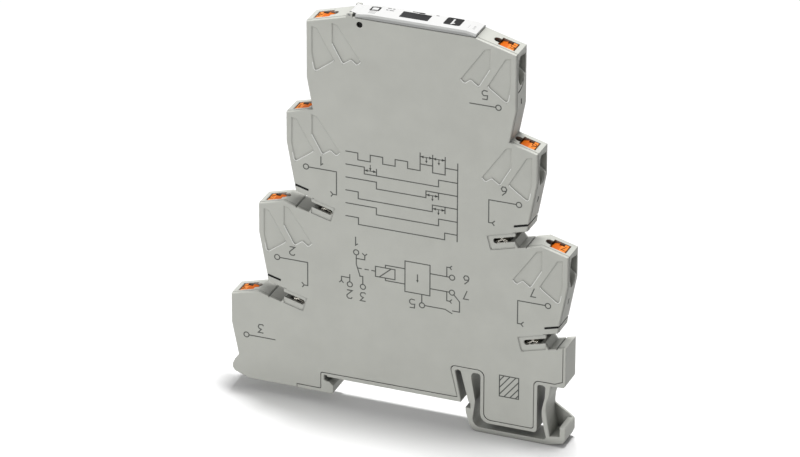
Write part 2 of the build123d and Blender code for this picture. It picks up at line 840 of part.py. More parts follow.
# Hinged cover over the controls, its pin and its dark window
COVER_Z = SEAT_Z + COVER_GAP
COVER_TOP = COVER_Z + COVER_T
KNUCKLE_FRONT = LID_BACK + HINGE_GAP
KNUCKLE_BACK = CAVITY_BACK - HINGE_GAP
with BuildPart() as top_cover:
    slab(
        [
            (COVER_LEFT, COVER_Z),
            (COVER_LEFT, COVER_Z + COVER_THIN),
            (COVER_LEFT + COVER_RISE, COVER_TOP, 4.0),
            (COVER_RIGHT - COVER_END, COVER_TOP, 3.0),
            (COVER_RIGHT, COVER_TOP - COVER_DROOP),
            (COVER_RIGHT, COVER_Z),
        ],
        FRONT,
        BACK,
    )
    upper_edges = top_cover.edges().filter_by(lambda edge: edge.center().Z > COVER_Z + COVER_T / 2)
    chamfer(upper_edges.filter_by(Axis.Y, reverse=True), COVER_EDGE)
    # Barrel that turns on the pin, and the web that joins it to the cover
    rod(HINGE_X, HINGE_Z, HINGE_R, KNUCKLE_FRONT, KNUCKLE_BACK)
    slab(
        [
            (HINGE_X, COVER_Z + 0.02),
            (HINGE_X, HINGE_Z + HINGE_R - 0.02),
            (COVER_LEFT + 0.3, COVER_Z + COVER_THIN - 0.02),
            (COVER_LEFT + 0.3, COVER_Z + 0.02),
        ],
        KNUCKLE_FRONT,
        KNUCKLE_BACK,
    )
    rod(HINGE_X, HINGE_Z, PIN_R + PIN_RUN, KNUCKLE_FRONT - 1, KNUCKLE_BACK + 1, Mode.SUBTRACT)
    # Nib that snaps into the right end of the opening
    nib = (OPENING[1] - 1.2, OPENING[1] - 0.5)
    block(nib, (MID_Y - 1.3, MID_Y + 1.3), (COVER_Z - 0.8, COVER_Z + 0.1))
    pane = (MID_Y + 0.2 - WINDOW_W / 2, MID_Y + 0.2 + WINDOW_W / 2)
    block(WINDOW, pane, (COVER_Z - 1, COVER_TOP + 1), Mode.SUBTRACT)
save(top_cover.part, "top_cover")

with BuildPart() as status_window:
    pane_x = (WINDOW[0] + SEAM / 2, WINDOW[1] - SEAM / 2)
    pane_y = (pane[0] + SEAM / 2, pane[1] - SEAM / 2)
    block(pane_x, pane_y, (COVER_Z + 0.1, COVER_TOP - 0.05))
save(status_window.part, "status_window")

with BuildPart() as hinge_pin:
    rod(HINGE_X, HINGE_Z, PIN_R, FRONT + HINGE_GAP, BACK - HINGE_GAP)
save(hinge_pin.part, "hinge_pin")

# Clamps: a push button, a bent leaf spring and a busbar behind each conductor's way
BAR_FRONT = 2 * MID_Y - BOARD_Y
BAR_LANDING = {
    "left_1": -10.5,
    "left_2": -13.2,
    "left_3": -16.0,
    "left_4": -15.0,
    "right_1": 12.0,
    "right_2": 16.5,
    "right_3": 16.5,
}


def bar_path(tier):
    """The busbar's bends, from the clamp to its landing on the circuit board."""
    path = [tier.way(-BAR_IN, WAY_END + 0.4), tier.way(-BAR_IN, WAY_END + 3.8)]
    landing = BAR_LANDING[tier.name]
    if tier.bridged:
        column = -SLOT_IN[tier.side] - 1.3
        foot = tier.slot_line(column) - 1.6
        path += [tier.at(-7.4, -17.1), tier.at(-9.0, -19.4), tier.at(column, -20.8), tier.at(column, foot)]
        path.append((landing, tier.z + foot))
    elif tier is LEFT[3]:
        low = BASE_Z + WALL + 2.5
        path += [(-34.4, low), (-23.0, low), (-18.3, BOARD_BOTTOM + 2), (landing, BOARD_BOTTOM + 2)]
    else:
        path += [tier.at(-8.0, -18.6), (landing, tier.z - 18.6)]
    return path


for tier in TIERS:
    low = BUTTON_IN[0]
    high = BUTTON_IN[1]
    raised = tier.top_depth(low) + 0.15
    tilt = (tier.top_depth(high) - tier.top_depth(low)) / (high - low)
    ridge = raised + tilt * (BUTTON_STEP - low)
    with BuildPart() as button:
        slab(
            [
                tier.way(low, raised),
                tier.way(BUTTON_STEP, ridge),
                tier.way(high, tier.top_depth(high) + BUTTON_DIP),
                tier.way(high, LUG_TOP),
                tier.way(high + LUG, LUG_TOP),
                tier.way(high + LUG, LUG_BOTTOM),
                tier.way(high, LUG_BOTTOM + 0.3),
                tier.way(BUTTON_STEP, WAY_END - 0.3),
                tier.way(low, WAY_END - 0.3),
            ],
            WAY_Y - BUTTON_W / 2,
            WAY_Y + BUTTON_W / 2,
        )
        slab(
            [
                tier.way(low, WAY_END - 0.5),
                tier.way(low, WAY_END + 1.3),
                tier.way(low + 1.2, WAY_END + 0.85),
                tier.way(low + 1.2, WAY_END - 0.5),
            ],
            WAY_Y - SPRING_W / 2,
            WAY_Y + SPRING_W / 2,
        )
        # Notch for a screwdriver at the back of the ridge
        slab(
            [
                tier.way(BUTTON_STEP - NOTCH_LONG / 2, ridge - 1),
                tier.way(BUTTON_STEP + NOTCH_LONG / 2, ridge - 1),
                tier.way(BUTTON_STEP + NOTCH_LONG / 2, ridge + NOTCH_DEEP),
                tier.way(BUTTON_STEP - NOTCH_LONG / 2, ridge + NOTCH_DEEP),
            ],
            WAY_Y + BUTTON_W / 2 - NOTCH_WIDE,
            WAY_Y + BUTTON_W / 2 + 1,
            Mode.SUBTRACT,
        )
    save(button.part, f"button_{tier.name}")

    bend = [tier.way(7.65, 8.9), tier.way(7.3, 8.35), tier.way(6.7, 8.2), tier.way(6.1, 8.4)]
    tip = tier.way(-BAR_IN + BAR_T / 2 + SPRING_T / 2 + 0.1, WAY_END + 3.7)
    with BuildPart() as clamp_spring:
        leaf = strip([tier.way(7.5, 11.6)] + bend + [tip], SPRING_T)
        slab(leaf, WAY_Y - SPRING_W / 2, WAY_Y + SPRING_W / 2)
    save(clamp_spring.part, f"clamp_spring_{tier.name}")

    with BuildPart() as busbar:
        slab(strip(bar_path(tier), BAR_T), BAR_FRONT, BOARD_Y)
    save(busbar.part, f"busbar_{tier.name}")

    if tier.bridged:
        root = -SLOT_IN[tier.side] - 1.3 + BAR_T / 2 + LEAF_T / 2
        profile = [(3.7, 0.62), (2.5, 0.22), (0.7, 0.75), (0.0, 0.4)]
        upper = [tier.at(root + x, tier.slot_line(root + x) + z) for x, z in profile]
        lower = [tier.at(root + x, tier.slot_line(root + x) - z) for x, z in profile]
        with BuildPart() as bridge_contact:
            slab(strip(upper + lower[::-1], LEAF_T), LID_BACK + LEAF_CLEAR, LEAF_BACK)
        save(bridge_contact.part, f"bridge_contact_{tier.name}")

# Circuit board with the relay's cut-out
RELAY_RIGHT = RELAY_LEFT + RELAY_W
RELAY_TOP = RELAY_Z + RELAY_H
with BuildPart() as circuit_board:
    slab(
        [
            (BOARD_TOP_LEFT, BOARD_TOP),
            (BOARD_TOP_RIGHT, BOARD_TOP),
            (BOARD_TOP_RIGHT, 71.0),
            (BOARD_RIGHT, 69.0),
            (BOARD_RIGHT, BLOCK_Z + 1.6),
            (11.4, BLOCK_Z + 1.6),
            (11.4, BOARD_BOTTOM),
            (BOARD_LEFT, BOARD_BOTTOM),
            (BOARD_LEFT, 45.0),
            (BOARD_NECK_LEFT, 47.0),
            (BOARD_NECK_LEFT, 70.0),
            (BOARD_TOP_LEFT, 72.0),
        ],
        BOARD_Y,
        CAVITY_BACK,
    )
    cut = 0.15
    block(
        (RELAY_LEFT - cut, RELAY_RIGHT + cut),
        (BOARD_Y - 1, CAVITY_BACK + 1),
        (RELAY_Z - cut, RELAY_TOP + cut),
        Mode.SUBTRACT,
    )
save(circuit_board.part, "circuit_board")

# Relay: case, base, coil, armature and changeover contacts
RELAY_Y0 = RELAY_Y - RELAY_T / 2
RELAY_Y1 = RELAY_Y + RELAY_T / 2
INNER_Y = (RELAY_Y0 + RELAY_WALL, RELAY_Y1 - RELAY_WALL)
INNER_Z = (RELAY_Z + RELAY_WALL, RELAY_TOP - RELAY_WALL)
BASE_X = RELAY_RIGHT - RELAY_BASE_T
with BuildPart() as relay_case:
    block((RELAY_LEFT, RELAY_RIGHT), (RELAY_Y0, RELAY_Y1), (RELAY_Z, RELAY_TOP))
    block((RELAY_LEFT + RELAY_WALL, RELAY_RIGHT + 1), INNER_Y, INNER_Z, Mode.SUBTRACT)
save(relay_case.part, "relay_case")

COIL_TOP = COIL_Z + COIL_H
YOKE_X = COIL_X - COIL_W / 2 - 0.9
YOKE_T = 0.8
YOKE_FOOT = 0.6
CORE_TOP = COIL_TOP + 0.6
ARM_Z = CORE_TOP + CORE_GAP
NO_Z = BLADE_Z - 1.65
NC_Z = BLADE_Z + 1.65
PIN_ZS = (COIL_Z + 1.2, COIL_TOP - 1.2, NO_Z, BLADE_Z, NC_Z)
PIN_BACK = BOARD_Y
with BuildPart() as relay_base:
    fit = RELAY_FIT
    base_y = (INNER_Y[0] + fit, INNER_Y[1] - fit)
    block((BASE_X, RELAY_RIGHT), base_y, (INNER_Z[0] + fit, INNER_Z[1] - fit))
    for z in PIN_ZS:
        hole = PIN_SQ / 2 + 0.02
        hole_y = (PIN_BACK - PIN_SQ - 0.02, PIN_BACK + 0.02)
        block((BASE_X - 1, RELAY_RIGHT + 1), hole_y, (z - hole, z + hole), Mode.SUBTRACT)
save(relay_base.part, "relay_base")

with BuildPart() as relay_pins:
    for z in PIN_ZS:
        half = PIN_SQ / 2
        block((BASE_X - 0.1, RELAY_RIGHT + 2.6), (PIN_BACK - PIN_SQ, PIN_BACK), (z - half, z + half))
save(relay_pins.part, "relay_pins")

with BuildPart() as relay_bobbin:
    for z in (COIL_Z, COIL_TOP - FLANGE_T):
        x = (COIL_X - COIL_W / 2, COIL_X + COIL_W / 2)
        block(x, (RELAY_Y - COIL_T / 2, RELAY_Y + COIL_T / 2), (z, z + FLANGE_T))
    with BuildSketch(Plane.XY.offset(COIL_Z)) as tube:
        with Locations((COIL_X, RELAY_Y)):
            Circle(TUBE_R)
    extrude(tube.sketch, amount=COIL_H)
    with BuildSketch(Plane.XY.offset(COIL_Z - 1)) as bore:
        with Locations((COIL_X, RELAY_Y)):
            Circle(CORE_R + 0.02)
    extrude(bore.sketch, amount=COIL_H + 2, mode=Mode.SUBTRACT)
save(relay_bobbin.part, "relay_bobbin")

with BuildPart() as relay_winding:
    with BuildSketch(Plane.XY.offset(COIL_Z + FLANGE_T + 0.02)):
        with Locations((COIL_X, RELAY_Y)):
            RectangleRounded(COIL_W - 0.8, COIL_T - 0.2, 1.4)
            Circle(TUBE_R + 0.02, mode=Mode.SUBTRACT)
    extrude(amount=COIL_H - 2 * FLANGE_T - 0.04)
save(relay_winding.part, "relay_winding")

with BuildPart() as relay_core:
    with BuildSketch(Plane.XY.offset(COIL_Z)):
        with Locations((COIL_X, RELAY_Y)):
            Circle(CORE_R)
    extrude(amount=CORE_TOP - COIL_Z)
save(relay_core.part, "relay_core")

with BuildPart() as relay_yoke:
    yoke_y = (RELAY_Y - 1.6, RELAY_Y + 1.6)
    block((YOKE_X, YOKE_X + YOKE_T), yoke_y, (COIL_Z - YOKE_FOOT, ARM_Z - 0.02))
    block((YOKE_X, COIL_X + 1.6), yoke_y, (COIL_Z - YOKE_FOOT, COIL_Z))
save(relay_yoke.part, "relay_yoke")

ARM_RIGHT = COIL_X + 2.9
CARD_X = (ARM_RIGHT - 0.9, ARM_RIGHT - 0.1)
CARD_Y = (RELAY_Y - 1.7, RELAY_Y - 0.3)
with BuildPart() as armature:
    block((YOKE_X + 0.1, ARM_RIGHT), (RELAY_Y - 1.6, RELAY_Y + 1.6), (ARM_Z, ARM_Z + ARMATURE_T))
save(armature.part, "armature")

with BuildPart() as armature_card:
    block(CARD_X, CARD_Y, (ARM_Z + ARMATURE_T, BLADE_Z + 0.9))
    block(
        (CARD_X[0] - 1, CARD_X[1] + 1),
        (RELAY_Y - BLADE_W / 2 - 0.15, RELAY_Y + 1),
        (BLADE_Z - 0.28, BLADE_Z + 0.28),
        Mode.SUBTRACT,
    )
save(armature_card.part, "armature_card")


def contact_rivet(z, height, mode=Mode.ADD):
    """A round contact at the tip of a blade, standing up from a height."""
    with BuildSketch(Plane.XY.offset(z)) as rivet:
        with Locations((TIP_X, RELAY_Y)):
            Circle(TIP_R)
    extrude(rivet.sketch, amount=height, mode=mode)


LEAF_ROOT = BASE_X - 0.1
BLADE_Y = (RELAY_Y - BLADE_W / 2, RELAY_Y + BLADE_W / 2)
with BuildPart() as contact_blade:
    block((TIP_X - 1.0, LEAF_ROOT), BLADE_Y, (BLADE_Z - BLADE_T / 2, BLADE_Z + BLADE_T / 2))
    contact_rivet(BLADE_Z - 0.35, 0.7)
save(contact_blade.part, "contact_blade")

with BuildPart() as contact_nc:
    block((TIP_X - 1.0, LEAF_ROOT), BLADE_Y, (NC_Z - 0.15, NC_Z + 0.15))
    contact_rivet(BLADE_Z + 0.39, NC_Z - BLADE_Z - 0.39)
save(contact_nc.part, "contact_nc")

with BuildPart() as contact_no:
    block((TIP_X - 1.0, LEAF_ROOT), (RELAY_Y + 0.2, RELAY_Y + 1.7), (NO_Z - 0.15, NO_Z + 0.15))
    contact_rivet(NO_Z, 0.35)
save(contact_no.part, "contact_no")

# Parts soldered to the front of the board
with BuildPart() as timer_chip:
    block((6.6, 10.5), (BOARD_Y - 1.6, BOARD_Y - 0.1), (56.0, 66.0))
    for i in range(8):
        z = 56.55 + 1.27 * i
        block((5.6, 11.5), (BOARD_Y - 0.2, BOARD_Y), (z - 0.2, z + 0.2))
save(timer_chip.part, "timer_chip")

with BuildPart() as capacitor:
    with BuildSketch(Plane.XY.offset(36.0)):
        with Locations((12.5, BOARD_Y - 1.75)):
            Circle(1.7)
    extrude(amount=8.0)
    for x in (11.7, 13.3):
        block((x - 0.25, x + 0.25), (BOARD_Y - 1.9, BOARD_Y - 1.5), (33.4, 36.2))
        block((x - 0.25, x + 0.25), (BOARD_Y - 1.9, BOARD_Y), (33.0, 33.5))
save(capacitor.part, "capacitor")

with BuildPart() as rectifier:
    block((6.0, 10.7), (BOARD_Y - 2.5, BOARD_Y - 0.1), (14.0, 17.9))
    for z in (14.7, 17.2):
        block((5.2, 11.5), (BOARD_Y - 0.25, BOARD_Y), (z - 0.35, z + 0.35))
save(rectifier.part, "rectifier")

with BuildPart() as resistors:
    for x, z in ((-6.0, 60.0), (-6.0, 64.0), (1.5, 60.0), (1.5, 64.0), (-10.0, 18.0), (-4.0, 18.0)):
        block((x - 1.6, x + 1.6), (BOARD_Y - 0.6, BOARD_Y), (z - 0.8, z + 0.8))
save(resistors.part, "resistors")

# Controls in the opening: time dial, light guide and slide switches
with BuildPart() as pot_body:
    pot = DIAL_R + 0.5
    block((DIAL_X - pot, DIAL_X + pot), (DIAL_Y - DIAL_R, BOARD_Y), (CONTROL_FOOT, DIAL_Z - 0.05))
save(pot_body.part, "pot_body")

with BuildPart() as time_dial:
    with BuildSketch(Plane.XY.offset(DIAL_Z)):
        with Locations((DIAL_X, DIAL_Y)):
            Circle(DIAL_R)
    extrude(amount=DIAL_H)
    slot_y = (DIAL_Y - 0.3, DIAL_Y + 0.3)
    dial_top = DIAL_Z + DIAL_H
    block((DIAL_X - 1.3, DIAL_X + 1.3), slot_y, (dial_top - 0.6, dial_top + 1), Mode.SUBTRACT)
save(time_dial.part, "time_dial")

with BuildPart() as led:
    led_x = (GUIDE_X - LED_W / 2, GUIDE_X + LED_W / 2)
    block(led_x, (BOARD_Y - LED_T, BOARD_Y), (CONTROL_FOOT, CONTROL_FOOT + LED_H))
save(led.part, "led")

with BuildPart() as light_guide:
    guide_x = (GUIDE_X - GUIDE_R, GUIDE_X + GUIDE_R)
    guide_foot = CONTROL_FOOT + LED_H + LED_GAP
    block(guide_x, (BOARD_Y - GUIDE_T, BOARD_Y), (guide_foot, BOARD_TOP - 0.4))
    with BuildSketch(Plane.XY.offset(BOARD_TOP - 0.5)):
        with Locations((GUIDE_X, BOARD_Y - GUIDE_R - 0.1)):
            Circle(GUIDE_R)
    extrude(amount=SEAT_Z - GUIDE_DROP - BOARD_TOP + 0.5)
save(light_guide.part, "light_guide")

SWITCH_Y = DIAL_Y - SWITCH_TRAVEL / 2
SWITCH_XS = [SWITCH_X + SWITCH_PITCH * i for i in range(SWITCH_COUNT)]
with BuildPart() as switch_body:
    body_x = (SWITCH_XS[0] - 1.2, SWITCH_XS[-1] + 0.85)
    block(body_x, (DIAL_Y - DIAL_R, BOARD_Y), (CONTROL_FOOT, SWITCH_TOP))
    for x in SWITCH_XS:
        slot_x = (x - SWITCH_W / 2 - 0.05, x + SWITCH_W / 2 + 0.05)
        slot_y = (SWITCH_Y - SWITCH_W / 2 - 0.05, SWITCH_Y + SWITCH_W / 2 + SWITCH_TRAVEL + 0.05)
        block(slot_x, slot_y, (SWITCH_TOP - 0.8, SWITCH_TOP + 1), Mode.SUBTRACT)
save(switch_body.part, "switch_body")

for i, x in enumerate(SWITCH_XS):
    with BuildPart() as slider:
        slide_y = (SWITCH_Y - SWITCH_W / 2, SWITCH_Y + SWITCH_W / 2)
        block((x - SWITCH_W / 2, x + SWITCH_W / 2), slide_y, (SWITCH_TOP - 0.75, SWITCH_TOP + 0.6))
    save(slider.part, f"switch_slider_{i + 1}")
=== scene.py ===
import math

import bmesh
import bpy
from mathutils import Matrix, Vector


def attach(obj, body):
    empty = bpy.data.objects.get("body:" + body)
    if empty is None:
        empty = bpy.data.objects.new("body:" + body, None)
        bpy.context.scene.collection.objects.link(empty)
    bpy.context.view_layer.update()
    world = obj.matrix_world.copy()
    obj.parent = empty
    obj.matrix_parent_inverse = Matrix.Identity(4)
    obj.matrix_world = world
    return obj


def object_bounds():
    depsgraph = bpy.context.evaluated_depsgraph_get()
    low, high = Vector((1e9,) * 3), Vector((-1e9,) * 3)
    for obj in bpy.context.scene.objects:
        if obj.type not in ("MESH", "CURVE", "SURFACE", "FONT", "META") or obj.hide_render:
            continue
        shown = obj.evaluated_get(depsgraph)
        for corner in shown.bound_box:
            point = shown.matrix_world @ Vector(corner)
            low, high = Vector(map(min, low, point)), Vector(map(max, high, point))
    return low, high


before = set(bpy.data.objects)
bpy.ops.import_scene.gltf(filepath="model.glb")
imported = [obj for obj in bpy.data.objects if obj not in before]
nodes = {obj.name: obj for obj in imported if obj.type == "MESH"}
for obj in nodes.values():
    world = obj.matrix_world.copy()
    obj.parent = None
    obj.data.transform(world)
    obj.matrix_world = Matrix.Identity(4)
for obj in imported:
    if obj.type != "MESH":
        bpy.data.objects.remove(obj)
cad_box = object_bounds()

# All sizes below are in millimetres and pass through MM on their way into Blender
MM = 0.001
LID_FACE = -3.1

# The terminals: name, side, reach of the top corner, its height, and the plain number beside it
TERMINALS = [
    ("left_1", -1, 21.6, 87.25, "4"),
    ("left_2", -1, 26.5, 64.42, "1"),
    ("left_3", -1, 33.3, 40.72, "2"),
    ("left_4", -1, 40.2, 16.85, "3"),
    ("right_1", 1, 27.55, 87.25, "5"),
    ("right_2", 1, 32.7, 64.42, "6"),
    ("right_3", 1, 40.2, 40.72, "7"),
]
# Those with a bridge slot, and the one without reliefs in the plate
BRIDGED = ("left_2", "left_3", "right_2", "right_3")
PLAIN = "left_4"
TOP_SLOPE = math.tan(math.radians(15.2))


# Camera: where it stands, which way it looks, its lens, and how near and far it sees
CAMERA_AT = (396.52, -1012.31, 580.40)
TURN = 0.37383
TILT = 0.46196
ROLL = 0.00329
LENS = 246.6
SENSOR = 36.0
NEAREST = 50
FARTHEST = 20000

back = Vector((math.sin(TURN) * math.cos(TILT), -math.cos(TURN) * math.cos(TILT), math.sin(TILT)))
level = Vector((math.cos(TURN), math.sin(TURN), 0.0))
upward = back.cross(level)
right = level * math.cos(ROLL) + upward * math.sin(ROLL)
upward = upward * math.cos(ROLL) - level * math.sin(ROLL)
camera_data = bpy.data.cameras.new("camera")
camera_data.lens = LENS
camera_data.sensor_fit = "HORIZONTAL"
camera_data.sensor_width = SENSOR
camera_data.clip_start = NEAREST * MM
camera_data.clip_end = FARTHEST * MM
camera = bpy.data.objects.new("camera", camera_data)
bpy.context.collection.objects.link(camera)
placed = Matrix((right, upward, back)).transposed().to_4x4()
placed.translation = Vector(CAMERA_AT) * MM
camera.matrix_world = placed
bpy.context.scene.camera = camera
bpy.context.scene.view_settings.view_transform = "Standard"


# Light: a bright sky for what reflects it, a broad lamp overhead and a fill from the front
WHITE = (1.0, 1.0, 1.0, 1.0)
SKY_LIGHT = 0.27
TOP_LIGHT = 4.8
TOP_AT = (35, 74, 700)
TOP_LOOK = (0, 0, 40)
TOP_SIZE = (250, 92)
FRONT_LIGHT = 3.5
FRONT_AT = (-330, -800, 180)
FRONT_LOOK = (0, 0, 50)
FRONT_SIZE = (360, 360)


def sees_backdrop(tree):
    """1 for the rays that show the background: straight to the eye, by reflection or through glass."""
    path = tree.nodes.new("ShaderNodeLightPath")
    seen = tree.nodes.new("ShaderNodeMath")
    seen.operation = "MAXIMUM"
    either = tree.nodes.new("ShaderNodeMath")
    either.operation = "MAXIMUM"
    tree.links.new(path.outputs["Is Camera Ray"], seen.inputs[0])
    tree.links.new(path.outputs["Is Glossy Ray"], seen.inputs[1])
    tree.links.new(seen.outputs[0], either.inputs[0])
    tree.links.new(path.outputs["Is Transmission Ray"], either.inputs[1])
    return either.outputs[0]


world = bpy.data.worlds.new("studio")
bpy.context.scene.world = world
world.use_nodes = True
tree = world.node_tree
tree.nodes.clear()
out = tree.nodes.new("ShaderNodeOutputWorld")
sky = tree.nodes.new("ShaderNodeBackground")
sky.inputs["Color"].default_value = WHITE
sky.inputs["Strength"].default_value = SKY_LIGHT
white = tree.nodes.new("ShaderNodeBackground")
white.inputs["Color"].default_value = WHITE
white.inputs["Strength"].default_value = 1.0
mix = tree.nodes.new("ShaderNodeMixShader")
tree.links.new(sees_backdrop(tree), mix.inputs["Fac"])
tree.links.new(sky.outputs[0], mix.inputs[1])
tree.links.new(white.outputs[0], mix.inputs[2])
tree.links.new(mix.outputs[0], out.inputs["Surface"])


def lamp(name, at, look, size, power):
    """A rectangular lamp that faces a point."""
    data = bpy.data.lights.new(name, "AREA")
    data.shape = "RECTANGLE"
    data.size = size[0] * MM
    data.size_y = size[1] * MM
    data.energy = power
    item = bpy.data.objects.new(name, data)
    bpy.context.collection.objects.link(item)
    item.location = Vector(at) * MM
    aim = Vector(look) * MM - item.location
    item.rotation_euler = aim.to_track_quat("-Z", "Y").to_euler()


lamp("top_lamp", TOP_AT, TOP_LOOK, TOP_SIZE, TOP_LIGHT)
lamp("front_lamp", FRONT_AT, FRONT_LOOK, FRONT_SIZE, FRONT_LIGHT)


# Floor: pale, keeps the shadow, shows white where the light is full, and fades to white far away
FLOOR_SIZE = 6000
FLOOR_ROUGHNESS = 0.9
BOUNCE_TONE = 0.5
SEEN_TONE = 0.95
FADE_FROM = 120
FADE_TO = 320

floor_z = cad_box[0][2]
bpy.ops.mesh.primitive_plane_add(size=FLOOR_SIZE * MM, location=(0, 0, floor_z))
floor = bpy.context.object
floor.name = "floor"
floor_mat = bpy.data.materials.new("floor")
floor_mat.use_nodes = True
tree = floor_mat.node_tree
shader = tree.nodes["Principled BSDF"]
shader.inputs["Roughness"].default_value = FLOOR_ROUGHNESS
path = tree.nodes.new("ShaderNodeLightPath")
tint = tree.nodes.new("ShaderNodeMapRange")
tint.inputs["To Min"].default_value = BOUNCE_TONE
tint.inputs["To Max"].default_value = SEEN_TONE
tree.links.new(path.outputs["Is Camera Ray"], tint.inputs["Value"])
tree.links.new(tint.outputs["Result"], shader.inputs["Base Color"])
where = tree.nodes.new("ShaderNodeTexCoord")
distance = tree.nodes.new("ShaderNodeVectorMath")
distance.operation = "LENGTH"
fade = tree.nodes.new("ShaderNodeMapRange")
fade.interpolation_type = "SMOOTHSTEP"
fade.inputs["From Min"].default_value = FADE_FROM * MM
fade.inputs["From Max"].default_value = FADE_TO * MM
share = tree.nodes.new("ShaderNodeMath")
share.operation = "MULTIPLY"
white = tree.nodes.new("ShaderNodeEmission")
mix = tree.nodes.new("ShaderNodeMixShader")
tree.links.new(where.outputs["Object"], distance.inputs[0])
tree.links.new(distance.outputs["Value"], fade.inputs["Value"])
tree.links.new(sees_backdrop(tree), share.inputs[0])
tree.links.new(fade.outputs["Result"], share.inputs[1])
tree.links.new(share.outputs[0], mix.inputs["Fac"])
tree.links.new(shader.outputs[0], mix.inputs[1])
tree.links.new(white.outputs[0], mix.inputs[2])
tree.links.new(mix.outputs[0], tree.nodes["Material Output"].inputs["Surface"])
floor.data.materials.append(floor_mat)


# Materials: what all of them share. A noise scale counts its waves in a metre
CLOUD_SCALE = 180.0
CLOUD_DETAIL = 4.0
CLOUD_LOW = 0.3
CLOUD_HIGH = 0.7
ROUGH_SWING = 0.05
GRAIN_SCALE = 4000.0
WIRE_SCALE = 2500.0
GRAIN_DETAIL = 2.0
GRAIN_DEPTH = 0.02
EDGE_SAMPLES = 6
CREASE_SAMPLES = 8


def srgb(r, g, b):
    """A colour as the eye reads it, 0 to 255, turned into the shader's own scale."""
    scaled = [v / 255 for v in (r, g, b)]
    return tuple(v / 12.92 if v <= 0.04045 else ((v + 0.055) / 1.055) ** 2.4 for v in scaled) + (1.0,)


def material(
    name,
    color,
    roughness,
    metallic=0.0,
    shade=0.03,
    grain=0.0,
    grain_scale=GRAIN_SCALE,
    edge=0.0,
    painted_shade_reach=0.0,
    gloss=0.5,
    turned=(),
):
    """Moulded plastic or metal: a faint change of shade, a fine grain, softened edges and painted shade in
    creases.

    Each entry of turned is (colour, axis, low, high): that colour takes over as a face turns to the axis,
    painting light or shade by the way the face turns.
    """
    mat = bpy.data.materials.new(name)
    mat.use_nodes = True
    tree = mat.node_tree
    shader = tree.nodes["Principled BSDF"]
    shader.inputs["Metallic"].default_value = metallic
    shader.inputs["Specular IOR Level"].default_value = gloss
    where = tree.nodes.new("ShaderNodeTexCoord")
    cloud = tree.nodes.new("ShaderNodeTexNoise")
    cloud.inputs["Scale"].default_value = CLOUD_SCALE
    cloud.inputs["Detail"].default_value = CLOUD_DETAIL
    tree.links.new(where.outputs["Object"], cloud.inputs["Vector"])
    ramp = tree.nodes.new("ShaderNodeValToRGB")
    ramp.color_ramp.elements[0].position = CLOUD_LOW
    ramp.color_ramp.elements[1].position = CLOUD_HIGH
    ramp.color_ramp.elements[0].color = tuple(v * (1 - shade) for v in color[:3]) + (1.0,)
    ramp.color_ramp.elements[1].color = tuple(min(1.0, v * (1 + shade)) for v in color[:3]) + (1.0,)
    tree.links.new(cloud.outputs["Fac"], ramp.inputs["Fac"])
    tone = ramp.outputs["Color"]
    for other, axis, low, high in turned:
        part = tree.nodes.new("ShaderNodeSeparateXYZ")
        tree.links.new(where.outputs["Normal"], part.inputs["Vector"])
        share = tree.nodes.new("ShaderNodeMapRange")
        share.inputs["From Min"].default_value = low
        share.inputs["From Max"].default_value = high
        tree.links.new(part.outputs[axis], share.inputs["Value"])
        both = tree.nodes.new("ShaderNodeMixRGB")
        both.inputs["Color2"].default_value = other
        tree.links.new(share.outputs["Result"], both.inputs["Fac"])
        tree.links.new(tone, both.inputs["Color1"])
        tone = both.outputs["Color"]
    # Painted shade: the colour darkens where other surfaces are near, in creases, slots and recesses
    if painted_shade_reach:
        shade_paint = tree.nodes.new("ShaderNodeAmbientOcclusion")
        shade_paint.samples = CREASE_SAMPLES
        shade_paint.inputs["Distance"].default_value = painted_shade_reach * MM
        tree.links.new(tone, shade_paint.inputs["Color"])
        tone = shade_paint.outputs["Color"]
    tree.links.new(tone, shader.inputs["Base Color"])
    rough = tree.nodes.new("ShaderNodeMapRange")
    rough.inputs["To Min"].default_value = roughness - ROUGH_SWING
    rough.inputs["To Max"].default_value = roughness + ROUGH_SWING
    tree.links.new(cloud.outputs["Fac"], rough.inputs["Value"])
    tree.links.new(rough.outputs["Result"], shader.inputs["Roughness"])
    normal = None
    if edge:
        soft = tree.nodes.new("ShaderNodeBevel")
        soft.samples = EDGE_SAMPLES
        soft.inputs["Radius"].default_value = edge * MM
        normal = soft.outputs["Normal"]
    if grain:
        speck = tree.nodes.new("ShaderNodeTexNoise")
        speck.inputs["Scale"].default_value = grain_scale
        speck.inputs["Detail"].default_value = GRAIN_DETAIL
        tree.links.new(where.outputs["Object"], speck.inputs["Vector"])
        bump = tree.nodes.new("ShaderNodeBump")
        bump.inputs["Strength"].default_value = grain
        bump.inputs["Distance"].default_value = GRAIN_DEPTH * MM
        tree.links.new(speck.outputs["Fac"], bump.inputs["Height"])
        if normal:
            tree.links.new(normal, bump.inputs["Normal"])
        normal = bump.outputs["Normal"]
    if normal:
        tree.links.new(normal, shader.inputs["Normal"])
    return mat


# The housing's colour carries painted shade in its creases, slots and recesses
housing = material("housing_plastic", srgb(186, 187, 180), 0.42, grain=0.2, edge=0.24, painted_shade_reach=2.2)
# The cover: painted light and shade by the way faces turn, a lighter grey on faces turned upwards, and
# painted shade in its creases
cover_plastic = material(
    "cover_plastic",
    srgb(160, 161, 159),
    0.42,
    grain=0.1,
    edge=0.1,
    painted_shade_reach=0.5,
    turned=[(srgb(204, 204, 203), "Z", 0.8, 0.93)],
)
window_plastic = material("window_plastic", srgb(46, 46, 47), 0.45, shade=0.3, grain=0.1, gloss=0.05)


def button_plastic(name, side):
    """Orange, with painted shade: a darker orange on the faces turned inwards and near black on the inner
    end.
    """
    shaded_orange = (srgb(206, 98, 8), "X", side * 0.16, -side * 0.04)
    shadowed_end = (srgb(52, 40, 34), "X", -side * 0.6, -side * 0.75)
    orange = srgb(232, 132, 48)
    return material(name, orange, 0.5, shade=0.05, grain=0.15, edge=0.1, gloss=0.2, turned=[shaded_orange, shadowed_end])


